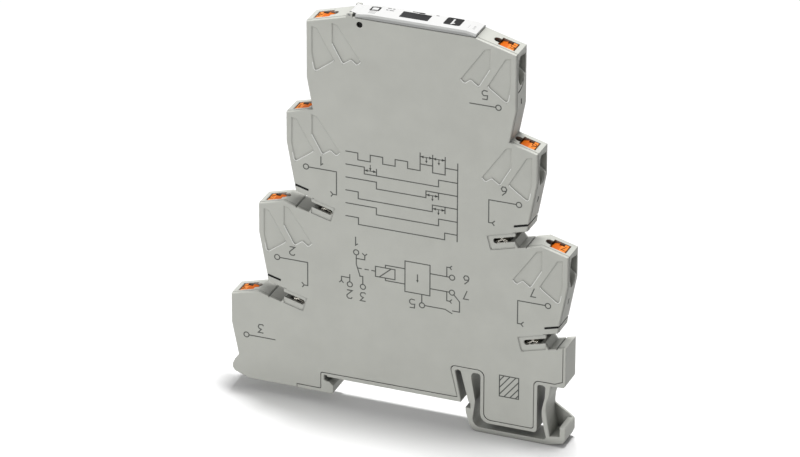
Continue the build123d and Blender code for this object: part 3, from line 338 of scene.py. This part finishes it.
orange_left = button_plastic("button_left", -1)
orange_right = button_plastic("button_right", 1)
steel = material("spring_steel", srgb(190, 190, 192), 0.3, metallic=1.0, edge=0.05)
pin_steel = material("pin_steel", srgb(150, 150, 152), 0.35, metallic=1.0, edge=0.08)
tinned = material("tinned_metal", srgb(214, 210, 200), 0.25, metallic=1.0, edge=0.05)
iron = material("iron", srgb(140, 140, 142), 0.45, metallic=1.0, edge=0.05)
copper = material("copper_wire", srgb(196, 118, 66), 0.35, metallic=1.0, grain=0.3, grain_scale=WIRE_SCALE)
board = material("board", srgb(40, 110, 62), 0.35, grain=0.1)
dark = material("dark_plastic", srgb(44, 44, 46), 0.5, grain=0.2, edge=0.1)
pale = material("white_plastic", srgb(226, 226, 222), 0.45, grain=0.1, edge=0.08)
clear = material("clear_plastic", srgb(222, 230, 228), 0.15, grain=0.02)
aluminium = material("aluminium_can", srgb(196, 198, 200), 0.3, metallic=1.0)
ink = material("print_ink", srgb(84, 86, 82), 0.6, shade=0.08)
# Black: print on the cover, and painted shade in the slits and the peg's hole
black_ink_and_shade = material("black_ink_and_shade", srgb(40, 40, 40), 0.5, shade=0.08, gloss=0.05)
faint_ink = material("faint_ink", srgb(120, 120, 120), 0.6, shade=0.08, gloss=0.1)
white_ink = material("white_ink", srgb(200, 200, 199), 0.6)
# Painted highlight colour for the lower edges of the reliefs
painted_edge_highlight = material("painted_edge_highlight", srgb(222, 223, 219), 0.42)
# Brown: the buttons' printed numbers, and painted shade in the gaps at the ends of their tops
brown_print_and_shade = material("button_marks_and_gap_shade", srgb(92, 48, 12), 0.6, shade=0.08, gloss=0.1)

FINISH = {
    "base_housing": housing,
    "side_lid": housing,
    "top_cover": cover_plastic,
    "status_window": window_plastic,
    "hinge_pin": pin_steel,
    "circuit_board": board,
    "pot_body": dark,
    "time_dial": pale,
    "switch_body": dark,
    "led": pale,
    "light_guide": clear,
    "relay_case": dark,
    "relay_base": dark,
    "relay_bobbin": pale,
    "relay_winding": copper,
    "relay_core": iron,
    "relay_yoke": iron,
    "relay_pins": tinned,
    "armature": iron,
    "armature_card": pale,
    "contact_blade": tinned,
    "contact_nc": tinned,
    "contact_no": tinned,
    "timer_chip": dark,
    "capacitor": aluminium,
    "rectifier": dark,
    "resistors": dark,
}
FAMILY_FINISH = {
    "button_left_": orange_left,
    "button_right_": orange_right,
    "clamp_spring_": steel,
    "busbar_": tinned,
    "bridge_contact_": tinned,
    "switch_slider_": pale,
}
for name, node in nodes.items():
    finish = FINISH.get(name)
    for family, own in FAMILY_FINISH.items():
        if name.startswith(family):
            finish = own
    for slot in node.material_slots:
        slot.material = finish


# Print and other thin layers: strokes and shapes on a surface, each a low closed strip
INK_HEIGHT = 0.02
INK_SINK = 0.01
LINE = 0.24
THIN_LINE = 0.18
SHARPEST = 0.3
RING_R = 0.62
RING_SIDES = 24
ARROW = 0.35
SMALL_ARROW = 0.28


def on_side(x, z, lift):
    """A point on the side plate, lifted off its face."""
    return (x, LID_FACE - lift, z)


class Print:
    """Gathers strokes and shapes on a surface into one mesh."""

    def __init__(self, place=on_side, top=INK_HEIGHT, bottom=-INK_SINK):
        self.place = place
        self.lifts = (top, bottom)
        self.points = []
        self.faces = []

    def add(self, outline):
        """Adds an outline's points twice: at the upper level, then at the lower one."""
        for lift in self.lifts:
            self.points += [Vector(self.place(a, b, lift)) * MM for a, b in outline]

    def shape(self, outline):
        """A filled flat shape with a low closed rim, from an outline going round once."""
        start = len(self.points)
        count = len(outline)
        self.add(outline)
        self.faces.append([start + i for i in range(count)])
        self.faces.append([start + count + i for i in reversed(range(count))])
        for i in range(count):
            j = (i + 1) % count
            self.faces.append([start + i, start + count + i, start + count + j, start + j])

    def line(self, points, width=LINE, closed=False):
        """A stroke with mitred corners along a run of points."""
        count = len(points)
        steps = [Vector(points[(i + 1) % count]) - Vector(points[i]) for i in range(count)]
        left = []
        other = []
        for i, (x, z) in enumerate(points):
            before = steps[i - 1] if i or closed else None
            after = steps[i] if i < count - 1 or closed else None
            before = (before or after).normalized()
            after = (after or before).normalized()
            across = Vector((-before.y - after.y, before.x + after.x)).normalized()
            across *= width / 2 / max(SHARPEST, across.dot(Vector((-after.y, after.x))))
            left.append((x + across.x, z + across.y))
            other.append((x - across.x, z - across.y))
        if closed:
            left.append(left[0])
            other.append(other[0])
        start = len(self.points)
        total = len(left)
        self.add(left + other)
        near_l, near_o, far_l, far_o = [start + total * k for k in range(4)]
        for i in range(total - 1):
            self.faces.append([near_l + i, near_l + i + 1, near_o + i + 1, near_o + i])
            self.faces.append([far_o + i, far_o + i + 1, far_l + i + 1, far_l + i])
            self.faces.append([far_l + i, far_l + i + 1, near_l + i + 1, near_l + i])
            self.faces.append([near_o + i, near_o + i + 1, far_o + i + 1, far_o + i])
        if not closed:
            for i in (0, total - 1):
                self.faces.append([near_l + i, near_o + i, far_o + i, far_l + i])

    def ring(self, x, z, radius=RING_R):
        """A small circle round a point."""
        angles = [math.tau * i / RING_SIDES for i in range(RING_SIDES)]
        self.line([(x + radius * math.cos(a), z + radius * math.sin(a)) for a in angles], closed=True)

    def arrow(self, x, z, dx, dz, size=ARROW):
        """A filled arrow head with its tip at a point, pointing along a direction."""
        tip = Vector((x, z))
        along = Vector((dx, dz)) * size * 2
        across = Vector((-dz, dx)) * size
        self.shape([tuple(tip), tuple(tip - along + across), tuple(tip - along - across)])

    def finish(self, name, look, body, slot):
        """Makes the mesh, with its material, and fixes it to the body that carries it."""
        mesh = bpy.data.meshes.new(name)
        mesh.from_pydata(self.points, [], self.faces)
        mesh.validate()
        whole = bmesh.new()
        whole.from_mesh(mesh)
        bmesh.ops.recalc_face_normals(whole, faces=whole.faces)
        whole.to_mesh(mesh)
        whole.free()
        item = bpy.data.objects.new(name, mesh)
        bpy.context.collection.objects.link(item)
        item.data.materials.append(look)
        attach(item, body)


# Plain numbers, each one stroke in a box 1 high
DIGIT_W = 0.6
DIGITS = {
    "1": [(0.1, 0.8), (0.35, 1.0), (0.35, 0.0)],
    "2": [(0.0, 0.8), (0.12, 0.97), (0.45, 0.97), (0.6, 0.8), (0.6, 0.6), (0.0, 0.0), (0.6, 0.0)],
    "3": [(0.0, 1.0), (0.6, 1.0), (0.25, 0.58), (0.5, 0.5), (0.6, 0.3), (0.5, 0.05), (0.1, 0.0), (0.0, 0.15)],
    "4": [(0.45, 0.0), (0.45, 1.0), (0.0, 0.3), (0.65, 0.3)],
    "5": [
        (0.58, 1.0),
        (0.05, 1.0),
        (0.0, 0.55),
        (0.4, 0.6),
        (0.6, 0.42),
        (0.6, 0.18),
        (0.4, 0.0),
        (0.0, 0.05),
    ],
    "6": [
        (0.5, 1.0),
        (0.1, 0.6),
        (0.0, 0.25),
        (0.15, 0.0),
        (0.45, 0.0),
        (0.6, 0.25),
        (0.45, 0.52),
        (0.05, 0.45),
    ],
    "7": [(0.0, 1.0), (0.6, 1.0), (0.2, 0.0)],
}
NUMBER_H = 2.1


def number(sheet, digit, x, z, height=NUMBER_H, width=LINE):
    """A plain number, upside down as all the print is, centred on a point."""
    stroke = [(x - (a - DIGIT_W / 2) * height, z - (b - 0.5) * height) for a, b in DIGITS[digit]]
    sheet.line(stroke, width)


def fork(sheet, x, z, side, gap=0.6):
    """The small open fork at the end of a run."""
    sheet.line([(x + side * gap, z + gap), (x, z), (x + side * gap * 0.8, z - gap)])


def span(sheet, left, right_x, z, reach, pointer):
    """A length marked between two uprights, with arrow heads and the stem of a pointer."""
    sheet.line([(left, z), (right_x, z)], width=THIN_LINE)
    sheet.arrow(left + SPAN_INSET, z, -1, 0)
    sheet.arrow(right_x - SPAN_INSET, z, 1, 0)
    sheet.line([(pointer, z), (pointer, z + reach)], width=THIN_LINE)


side_print = Print()

# Timing chart: rows of steps (column, up or down) that end at a common upright line
CHART_LEFT = -12.35
CHART_STEP = 2.945
CHART_TOP = 57.35
CHART_END = (59.0, 39.8)
ROW = 3.175
DROP = 1.65
ROWS = [
    [(0, 1), (1, 0), (2, 1), (3, 0), (4, 1), (5, 0), (6, 1), (7, 0), (8, 1)],
    [(0, 1), (1.52, 0), (7.48, 1)],
    [(0, 1), (2.5, 0), (6.48, 1)],
    [(0, 1), (1.03, 0), (7.0, 1)],
    [(0, 1), (2.5, 0), (7.5, 1)],
    [(0, 1), (1.05, 0), (8.0, 1)],
]
columns = [CHART_LEFT + CHART_STEP * i for i in range(10)]
side_print.line([(columns[9], z) for z in CHART_END])
for row, steps in enumerate(ROWS):
    high = CHART_TOP - ROW * row
    run = []
    for at, up in steps:
        x = CHART_LEFT + CHART_STEP * at
        z = high - (0 if up else DROP)
        if run:
            run.append((x, run[-1][1]))
        run.append((x, z))
    run.append((columns[9], run[-1][1]))
    side_print.line(run)

# Lengths marked on the chart: left and right end, height, pointer's reach, its place and its tip
SPAN_INSET = 0.1
TOP_SPAN_Z = 59.15
TOP_TIP = 57.75
STEM = -1.2
UPRIGHTS = [
    (columns[6], 60.1, CHART_TOP),
    (columns[7], 60.05, CHART_TOP),
    (columns[8], 60.05, CHART_TOP),
    (-4.98, 54.25, 52.6),
    (9.69, 51.0, 49.3),
    (11.24, 47.8, 46.15),
]
SPANS = [
    (columns[6], columns[7], TOP_SPAN_Z, STEM, (columns[6] + columns[7]) / 2, TOP_TIP),
    (columns[7], columns[8], TOP_SPAN_Z, STEM, (columns[7] + columns[8]) / 2, TOP_TIP),
    (-7.87, -4.98, 53.45, 1.5, -6.45, 53.6),
    (6.74, 9.69, 50.1, STEM, 8.27, 48.75),
    (8.29, 11.24, 46.95, STEM, 9.71, 45.6),
]
for x, high, low in UPRIGHTS:
    side_print.line([(x, high), (x, low)])
for left, right_x, z, reach, pointer, tip in SPANS:
    span(side_print, left, right_x, z, reach, pointer)
    side_print.arrow(pointer, tip, 0, -1, SMALL_ARROW)

# Circuit: timing block and coil, wires, changeover contact and supply terminals
BOXES = [
    [(1.85, 32.85), (7.8, 32.85), (7.8, 25.27), (1.85, 25.27)],
    [(-5.19, 30.2), (-0.53, 30.2), (-0.53, 27.7), (-5.19, 27.7)],
]
WIRES = [
    [(4.83, 30.05), (4.83, 28.4)],
    [(-4.23, 27.75), (-1.49, 30.15)],
    [(1.85, 30.9), (-2.8, 30.9), (-2.8, 30.2)],
    [(1.85, 27.1), (-2.8, 27.1), (-2.8, 27.7)],
    [(-9.4, 28.97), (-8.5, 28.97)],
    [(-7.8, 28.97), (-6.8, 28.97)],
    [(-6.15, 28.97), (-5.19, 28.97)],
    [(-9.79, 32.15), (-9.79, 29.9), (-8.85, 26.9)],
    [(-9.05, 27.05), (-8.23, 27.05), (-8.23, 25.1)],
    [(-9.79, 31.3), (-7.75, 31.3), (-7.75, 32.3)],
    [(-8.35, 32.85), (-7.75, 32.3), (-7.2, 32.85)],
    [(-11.35, 27.05), (-11.35, 25.15)],
    [(-11.35, 26.15), (-13.35, 26.15), (-13.35, 25.15)],
    [(-13.9, 24.6), (-13.35, 25.15), (-12.85, 24.6)],
    [(7.8, 30.8), (12.4, 30.8)],
    [(11.78, 30.8), (11.78, 33.18), (12.5, 33.18)],
    [(7.8, 27.08), (12.4, 27.08)],
    [(11.81, 27.08), (11.81, 24.84), (12.55, 24.84)],
    [(5.88, 25.25), (5.88, 23.2)],
    [(6.55, 22.62), (11.4, 22.62), (13.15, 21.83)],
    [(13.45, 26.65), (14.85, 25.1), (14.85, 22.55), (13.12, 22.55)],
]
RINGS = [(-9.82, 32.8), (-8.2, 24.48), (-11.35, 24.52), (13.04, 30.8), (13.04, 27.08), (5.94, 22.57)]
FORKS = [(12.5, 33.18), (12.55, 24.84)]
FORK_GAP = 0.5
COIL_TIP = (4.83, 28.0)
COIL_ARROW = 0.3
for box in BOXES:
    side_print.line(box, closed=True)
for wire in WIRES:
    side_print.line(wire)
for x, z in RINGS:
    side_print.ring(x, z)
for x, z in FORKS:
    fork(side_print, x, z, 1, FORK_GAP)
side_print.arrow(*COIL_TIP, 0, -1, COIL_ARROW)

# Terminal marks: a ring for each clamp and a run beside it, and where a bridge slot is, down to its fork
FORK_REACH = 0.85
RIGHT_MARKS = [(23.48, 74.12, 16.75, None), (28.53, 51.55, 21.5, 46.0), (35.65, 28.09, 28.55, 22.42)]
LEFT_MARKS = [(-21.78, 51.83, -14.5, 46.15), (-28.87, 28.06, -21.5, 22.28), (-36.54, 7.03, -29.45, None)]
for side, marks in ((-1, RIGHT_MARKS), (1, LEFT_MARKS)):
    for x, z, far, low in marks:
        side_print.ring(x, z)
        run = [(x + side * RING_R, z), (far, z)]
        if low:
            run += [(far, low), (far - side * FORK_REACH, low)]
            fork(side_print, far - side * FORK_REACH, low, -side)
        side_print.line(run)

# Plain numbers: at the terminals, then on the circuit
SIDE_NUMBERS = [
    ("5", 20.3, 76.65),
    ("6", 25.0, 54.2),
    ("7", 32.2, 30.7),
    ("1", -18.1, 53.9),
    ("2", -25.2, 30.2),
    ("3", -33.0, 9.2),
    ("1", -9.85, 35.6),
    ("3", -8.2, 22.0),
    ("2", -11.4, 22.0),
    ("6", 16.4, 30.8),
    ("7", 16.4, 27.1),
    ("5", 3.6, 22.6),
]
for digit, x, z in SIDE_NUMBERS:
    number(side_print, digit, x, z)

# Hatched square on the tongue inside the foot
SQUARE = [(24.5, 8.7), (29.05, 8.7), (29.05, 3.45), (24.5, 3.45)]
HATCHES = [
    [(24.5, 7.3), (25.6, 8.7)],
    [(24.5, 5.6), (27.0, 8.7)],
    [(24.5, 3.9), (28.4, 8.7)],
    [(25.6, 3.45), (29.05, 7.65)],
    [(27.0, 3.45), (29.05, 5.95)],
    [(28.3, 3.45), (29.05, 4.35)],
]
side_print.line(SQUARE, closed=True)
for hatch in HATCHES:
    side_print.line(hatch)

side_print.finish("side_print", ink, "housing", "dark_plastic")

# Shallow floor of the groove round each bridge slot, and its rounded corners
NOTCH_IN = {-1: 6.45, 1: 5.45}
NOTCH_OUT = 0.45
NOTCH_TOP_DROP = 20.05
NOTCH_REF = 5.5
NOTCH_H = 3.7
POCKET_IN = 11.6
POCKET_DEPTH = 0.45
GROOVE = 0.22
GROOVE_FLOOR = 0.1
CORNER_R = 0.7
CORNER_SINK = 0.005
ARC_STEPS = 6
OVERLAP = 0.01


def pocket(side, reach, z, margin):
    """The outline of the plate round a bridge slot, a margin inside the groove's outer side."""
    tilt = NOTCH_H * TOP_SLOPE / (1 + TOP_SLOPE**2)
    out = NOTCH_OUT - NOTCH_IN[side]
    far = margin - POCKET_IN
    corners = [(out, -margin), (far, -margin), (far + tilt, margin - NOTCH_H), (out, margin - NOTCH_H)]
    top = z - NOTCH_TOP_DROP
    return [(side * (reach + a), top + (a + NOTCH_REF) * TOP_SLOPE + b) for a, b in corners]


def round_corner(sheet, corner, before, after):
    """Fills a corner out to an arc, in thin triangles. before and after are the two ways out of it."""
    half_turn = before.angle(after) / 2
    centre = corner + (before + after).normalized() * CORNER_R / math.sin(half_turn)
    start = corner + before * CORNER_R / math.tan(half_turn) - centre
    end = corner + after * CORNER_R / math.tan(half_turn) - centre
    sweep = start.angle_signed(end)
    arc = [centre + Matrix.Rotation(-sweep * k / ARC_STEPS, 2) @ start for k in range(ARC_STEPS + 1)]
    for first, second in zip(arc, arc[1:]):
        sheet.shape([tuple(corner), tuple(first), tuple(second)])


groove_floor = Print(top=-GROOVE_FLOOR, bottom=-POCKET_DEPTH - OVERLAP)
groove_corners = Print(top=-CORNER_SINK, bottom=-POCKET_DEPTH - OVERLAP)
for name, side, reach, z, _ in TERMINALS:
    if name in BRIDGED:
        groove_floor.line(pocket(side, reach, z, GROOVE / 2), width=GROOVE + OVERLAP)
        outline = [Vector(point) for point in pocket(side, reach, z, 0)]
        for i in (1, 2):
            before = (outline[i - 1] - outline[i]).normalized()
            after = (outline[i + 1] - outline[i]).normalized()
            round_corner(groove_corners, outline[i], before, after)
groove_floor.finish("groove_floor", housing, "housing", "housing")
groove_corners.finish("groove_corners", housing, "housing", "housing")

# Painted highlights on the lower edges of the shallow reliefs, and painted shade in the slits at the tiers'
# lower ends
CLAMP_EDGE = [(-1.5, -9.6), (-1.75, -11.1), (-2.2, -11.6), (-2.8, -11.35), (-6.2, -8.85), (-6.55, -8.4)]
BUTTON_EDGE = [
    (-6.1, -4.4),
    (-8.45, -8.6),
    (-8.85, -8.85),
    (-10.4, -7.75),
    (-10.75, -7.75),
    (-11.85, -8.6),
    (-12.3, -8.45),
    (-12.9, -7.8),
]
EDGE_W = 0.2
EDGE_SINK = 0.21
SLIT_W = 0.5
SLIT_SINK = 0.3
SLIT_REF = 1.9
SLIT_DROP = 17.4
SLIT = [(a, (a + SLIT_REF) * TOP_SLOPE - SLIT_DROP) for a in (-2.1, -5.25)]
relief_edge_highlights = Print(bottom=-EDGE_SINK)
slit_shade = Print(bottom=-SLIT_SINK)
for name, side, reach, z, _ in TERMINALS:
    if name != PLAIN:
        for edge in (CLAMP_EDGE, BUTTON_EDGE):
            # Painted highlight along the lower edges of each relief
            relief_edge_highlights.line([(side * (reach + a), z + b) for a, b in edge], width=EDGE_W)
    if name in BRIDGED:
        # Painted shade: a black strip over each slit
        slit_shade.line([(side * (reach + a), z + b) for a, b in SLIT], width=SLIT_W)
relief_edge_highlights.finish("relief_edge_highlights", painted_edge_highlight, "housing", "housing")
slit_shade.finish("slit_shade", black_ink_and_shade, "housing", "dark_plastic")

# Painted shade: a black disc on the end of the peg that holds the side plate, down in its hole
PEG_AT = (-9.0, 88.4)
PEG_R = 0.43
PEG_SIDES = 12
PEG_DROP = 0.55
PEG_HALF = 0.02
peg_hole_shade = Print(top=PEG_HALF - PEG_DROP, bottom=-PEG_HALF - PEG_DROP)
angles = [math.tau * i / PEG_SIDES for i in range(PEG_SIDES)]
peg_hole_shade.shape([(PEG_AT[0] + PEG_R * math.cos(t), PEG_AT[1] + PEG_R * math.sin(t)) for t in angles])
peg_hole_shade.finish("peg_hole_shade", black_ink_and_shade, "housing", "dark_plastic")

# Marks on the cover: a plain square, small bars and a plain number on a dark field
COVER_TOP = 91.0
BEND = -6.75
BEND_FALL = 0.115
FAR_BEND = 15.75
FAR_FALL = 0.196
BOLD = 0.4
FIELD_LOW = (9.6, -1.1)
FIELD_HIGH = (13.5, 2.5)
FIELD_CUT = 0.3
COVER_NUMBER_AT = (11.55, 0.7)
COVER_NUMBER_H = 2.3
COVER_NUMBER_W = 0.42


def on_cover(x, y, lift):
    """A point on the cover's top, which falls a little towards both ends."""
    fall = max(0.0, BEND_FALL * (BEND - x), FAR_FALL * (x - FAR_BEND))
    return (x, y, COVER_TOP - fall + lift)


def cut_field(low, high, cut):
    """A rectangle with its corners cut off."""
    return [
        (low[0] + cut, low[1]),
        (high[0] - cut, low[1]),
        (high[0], low[1] + cut),
        (high[0], high[1] - cut),
        (high[0] - cut, high[1]),
        (low[0] + cut, high[1]),
        (low[0], high[1] - cut),
        (low[0], low[1] + cut),
    ]


cover_marks = Print(on_cover)
for y in (0.0, 1.65):
    cover_marks.line([(-7.9, y), (BEND, y), (-5.65, y)], width=BOLD)
for x in (-7.7, -5.85):
    cover_marks.line([(x, 0.1), (x, 1.55)], width=BOLD)
cover_marks.line([(1.4, 2.32), (4.2, 2.32)], width=0.26)
cover_marks.line([(3.0, 2.2), (4.3, 2.2)], width=0.46)
cover_marks.shape(cut_field(FIELD_LOW, FIELD_HIGH, FIELD_CUT))
cover_marks.finish("cover_marks", black_ink_and_shade, "cover", "dark_plastic")

cover_number = Print(on_cover, top=2 * INK_HEIGHT, bottom=INK_SINK)
number(cover_number, "1", *COVER_NUMBER_AT, COVER_NUMBER_H, COVER_NUMBER_W)
cover_number.finish("cover_number", white_ink, "cover", "white_plastic")

faint_marks = Print(on_cover)
for x, y, length in ((-4.3, 2.0, 0.9), (-3.1, 2.0, 0.5), (-4.4, 1.1, 0.5), (-3.6, 1.1, 1.0), (6.9, 2.3, 0.7)):
    faint_marks.line([(x, y), (x + length, y)], width=0.3)
for y in (-1.65, -1.05, -0.45):
    faint_marks.line([(-7.6, y), (BEND, y), (-6.0, y)], width=0.12)
for y in (-0.9, -0.3, 0.3):
    faint_marks.line([(15.4, y), (16.9, y)], width=0.16)
faint_marks.finish("faint_marks", faint_ink, "cover", "dark_plastic")

# Painted shade in the gaps at both ends of each button's top, and its plain number
WAY_ANGLE = math.radians(33.0)
WAY_MOUTH = 5.2
WAY_Y = 0.1
BUTTON_IN = (3.98, 7.6)
BUTTON_STEP = 5.65
BUTTON_LOW = 0.15
BUTTON_DIP = 1.0
BUTTON_W = 3.5
OUTER_GAP = (BUTTON_IN[0] + 0.01, BUTTON_IN[0] + 0.24)
INNER_GAP = (BUTTON_IN[1] - 0.3, BUTTON_IN[1] - 0.02)
GAP_HALF = BUTTON_W / 2 - 0.02
BUTTON_NUMBER_AT = 4.8
BUTTON_NUMBER_H = 1.7
BUTTON_NUMBER_W = 0.2


def deck_depth(across):
    """Depth of the sloped top face on a line down the conductor's way."""
    rise = across * (math.sin(WAY_ANGLE) - math.cos(WAY_ANGLE) * TOP_SLOPE) - WAY_MOUTH
    return rise / (math.cos(WAY_ANGLE) + math.sin(WAY_ANGLE) * TOP_SLOPE)


def button_top(side, reach, z):
    """Gives the function that places points on a button's top."""

    def on_button(across, y, lift):
        """A point on the top: level with the deck outside, falling inwards past the step."""
        inner = max(0.0, (across - BUTTON_STEP) / (BUTTON_IN[1] - BUTTON_STEP))
        depth = deck_depth(across) + BUTTON_LOW + inner * (BUTTON_DIP - BUTTON_LOW) - lift
        out = -across * math.cos(WAY_ANGLE) - depth * math.sin(WAY_ANGLE)
        up = -WAY_MOUTH + across * math.sin(WAY_ANGLE) - depth * math.cos(WAY_ANGLE)
        return (side * (reach + out), y, z + up)

    return on_button


def button_marks_and_gap_shade(name, side, reach, z, digit):
    """The marks of one terminal's button: painted shade in the gaps at its ends, and its number, which stands
    the same way up on both sides.
    """
    marks = Print(button_top(side, reach, z))
    near = WAY_Y - GAP_HALF
    far = WAY_Y + GAP_HALF
    # Painted shade: dark strips over the gaps at both ends of the top
    for low, high in (OUTER_GAP, INNER_GAP):
        marks.shape([(low, near), (high, near), (high, far), (low, far)])
    stroke = []
    for a, b in DIGITS[digit]:
        across = BUTTON_NUMBER_AT + side * BUTTON_NUMBER_H * (a - DIGIT_W / 2)
        stroke.append((across, WAY_Y + BUTTON_NUMBER_H * (0.5 - b)))
    marks.line(stroke, width=BUTTON_NUMBER_W)
    marks.finish(f"button_marks_and_gap_shade_{name}", brown_print_and_shade, f"button_{name}", "dark_plastic")


for terminal in TERMINALS:
    button_marks_and_gap_shade(*terminal)
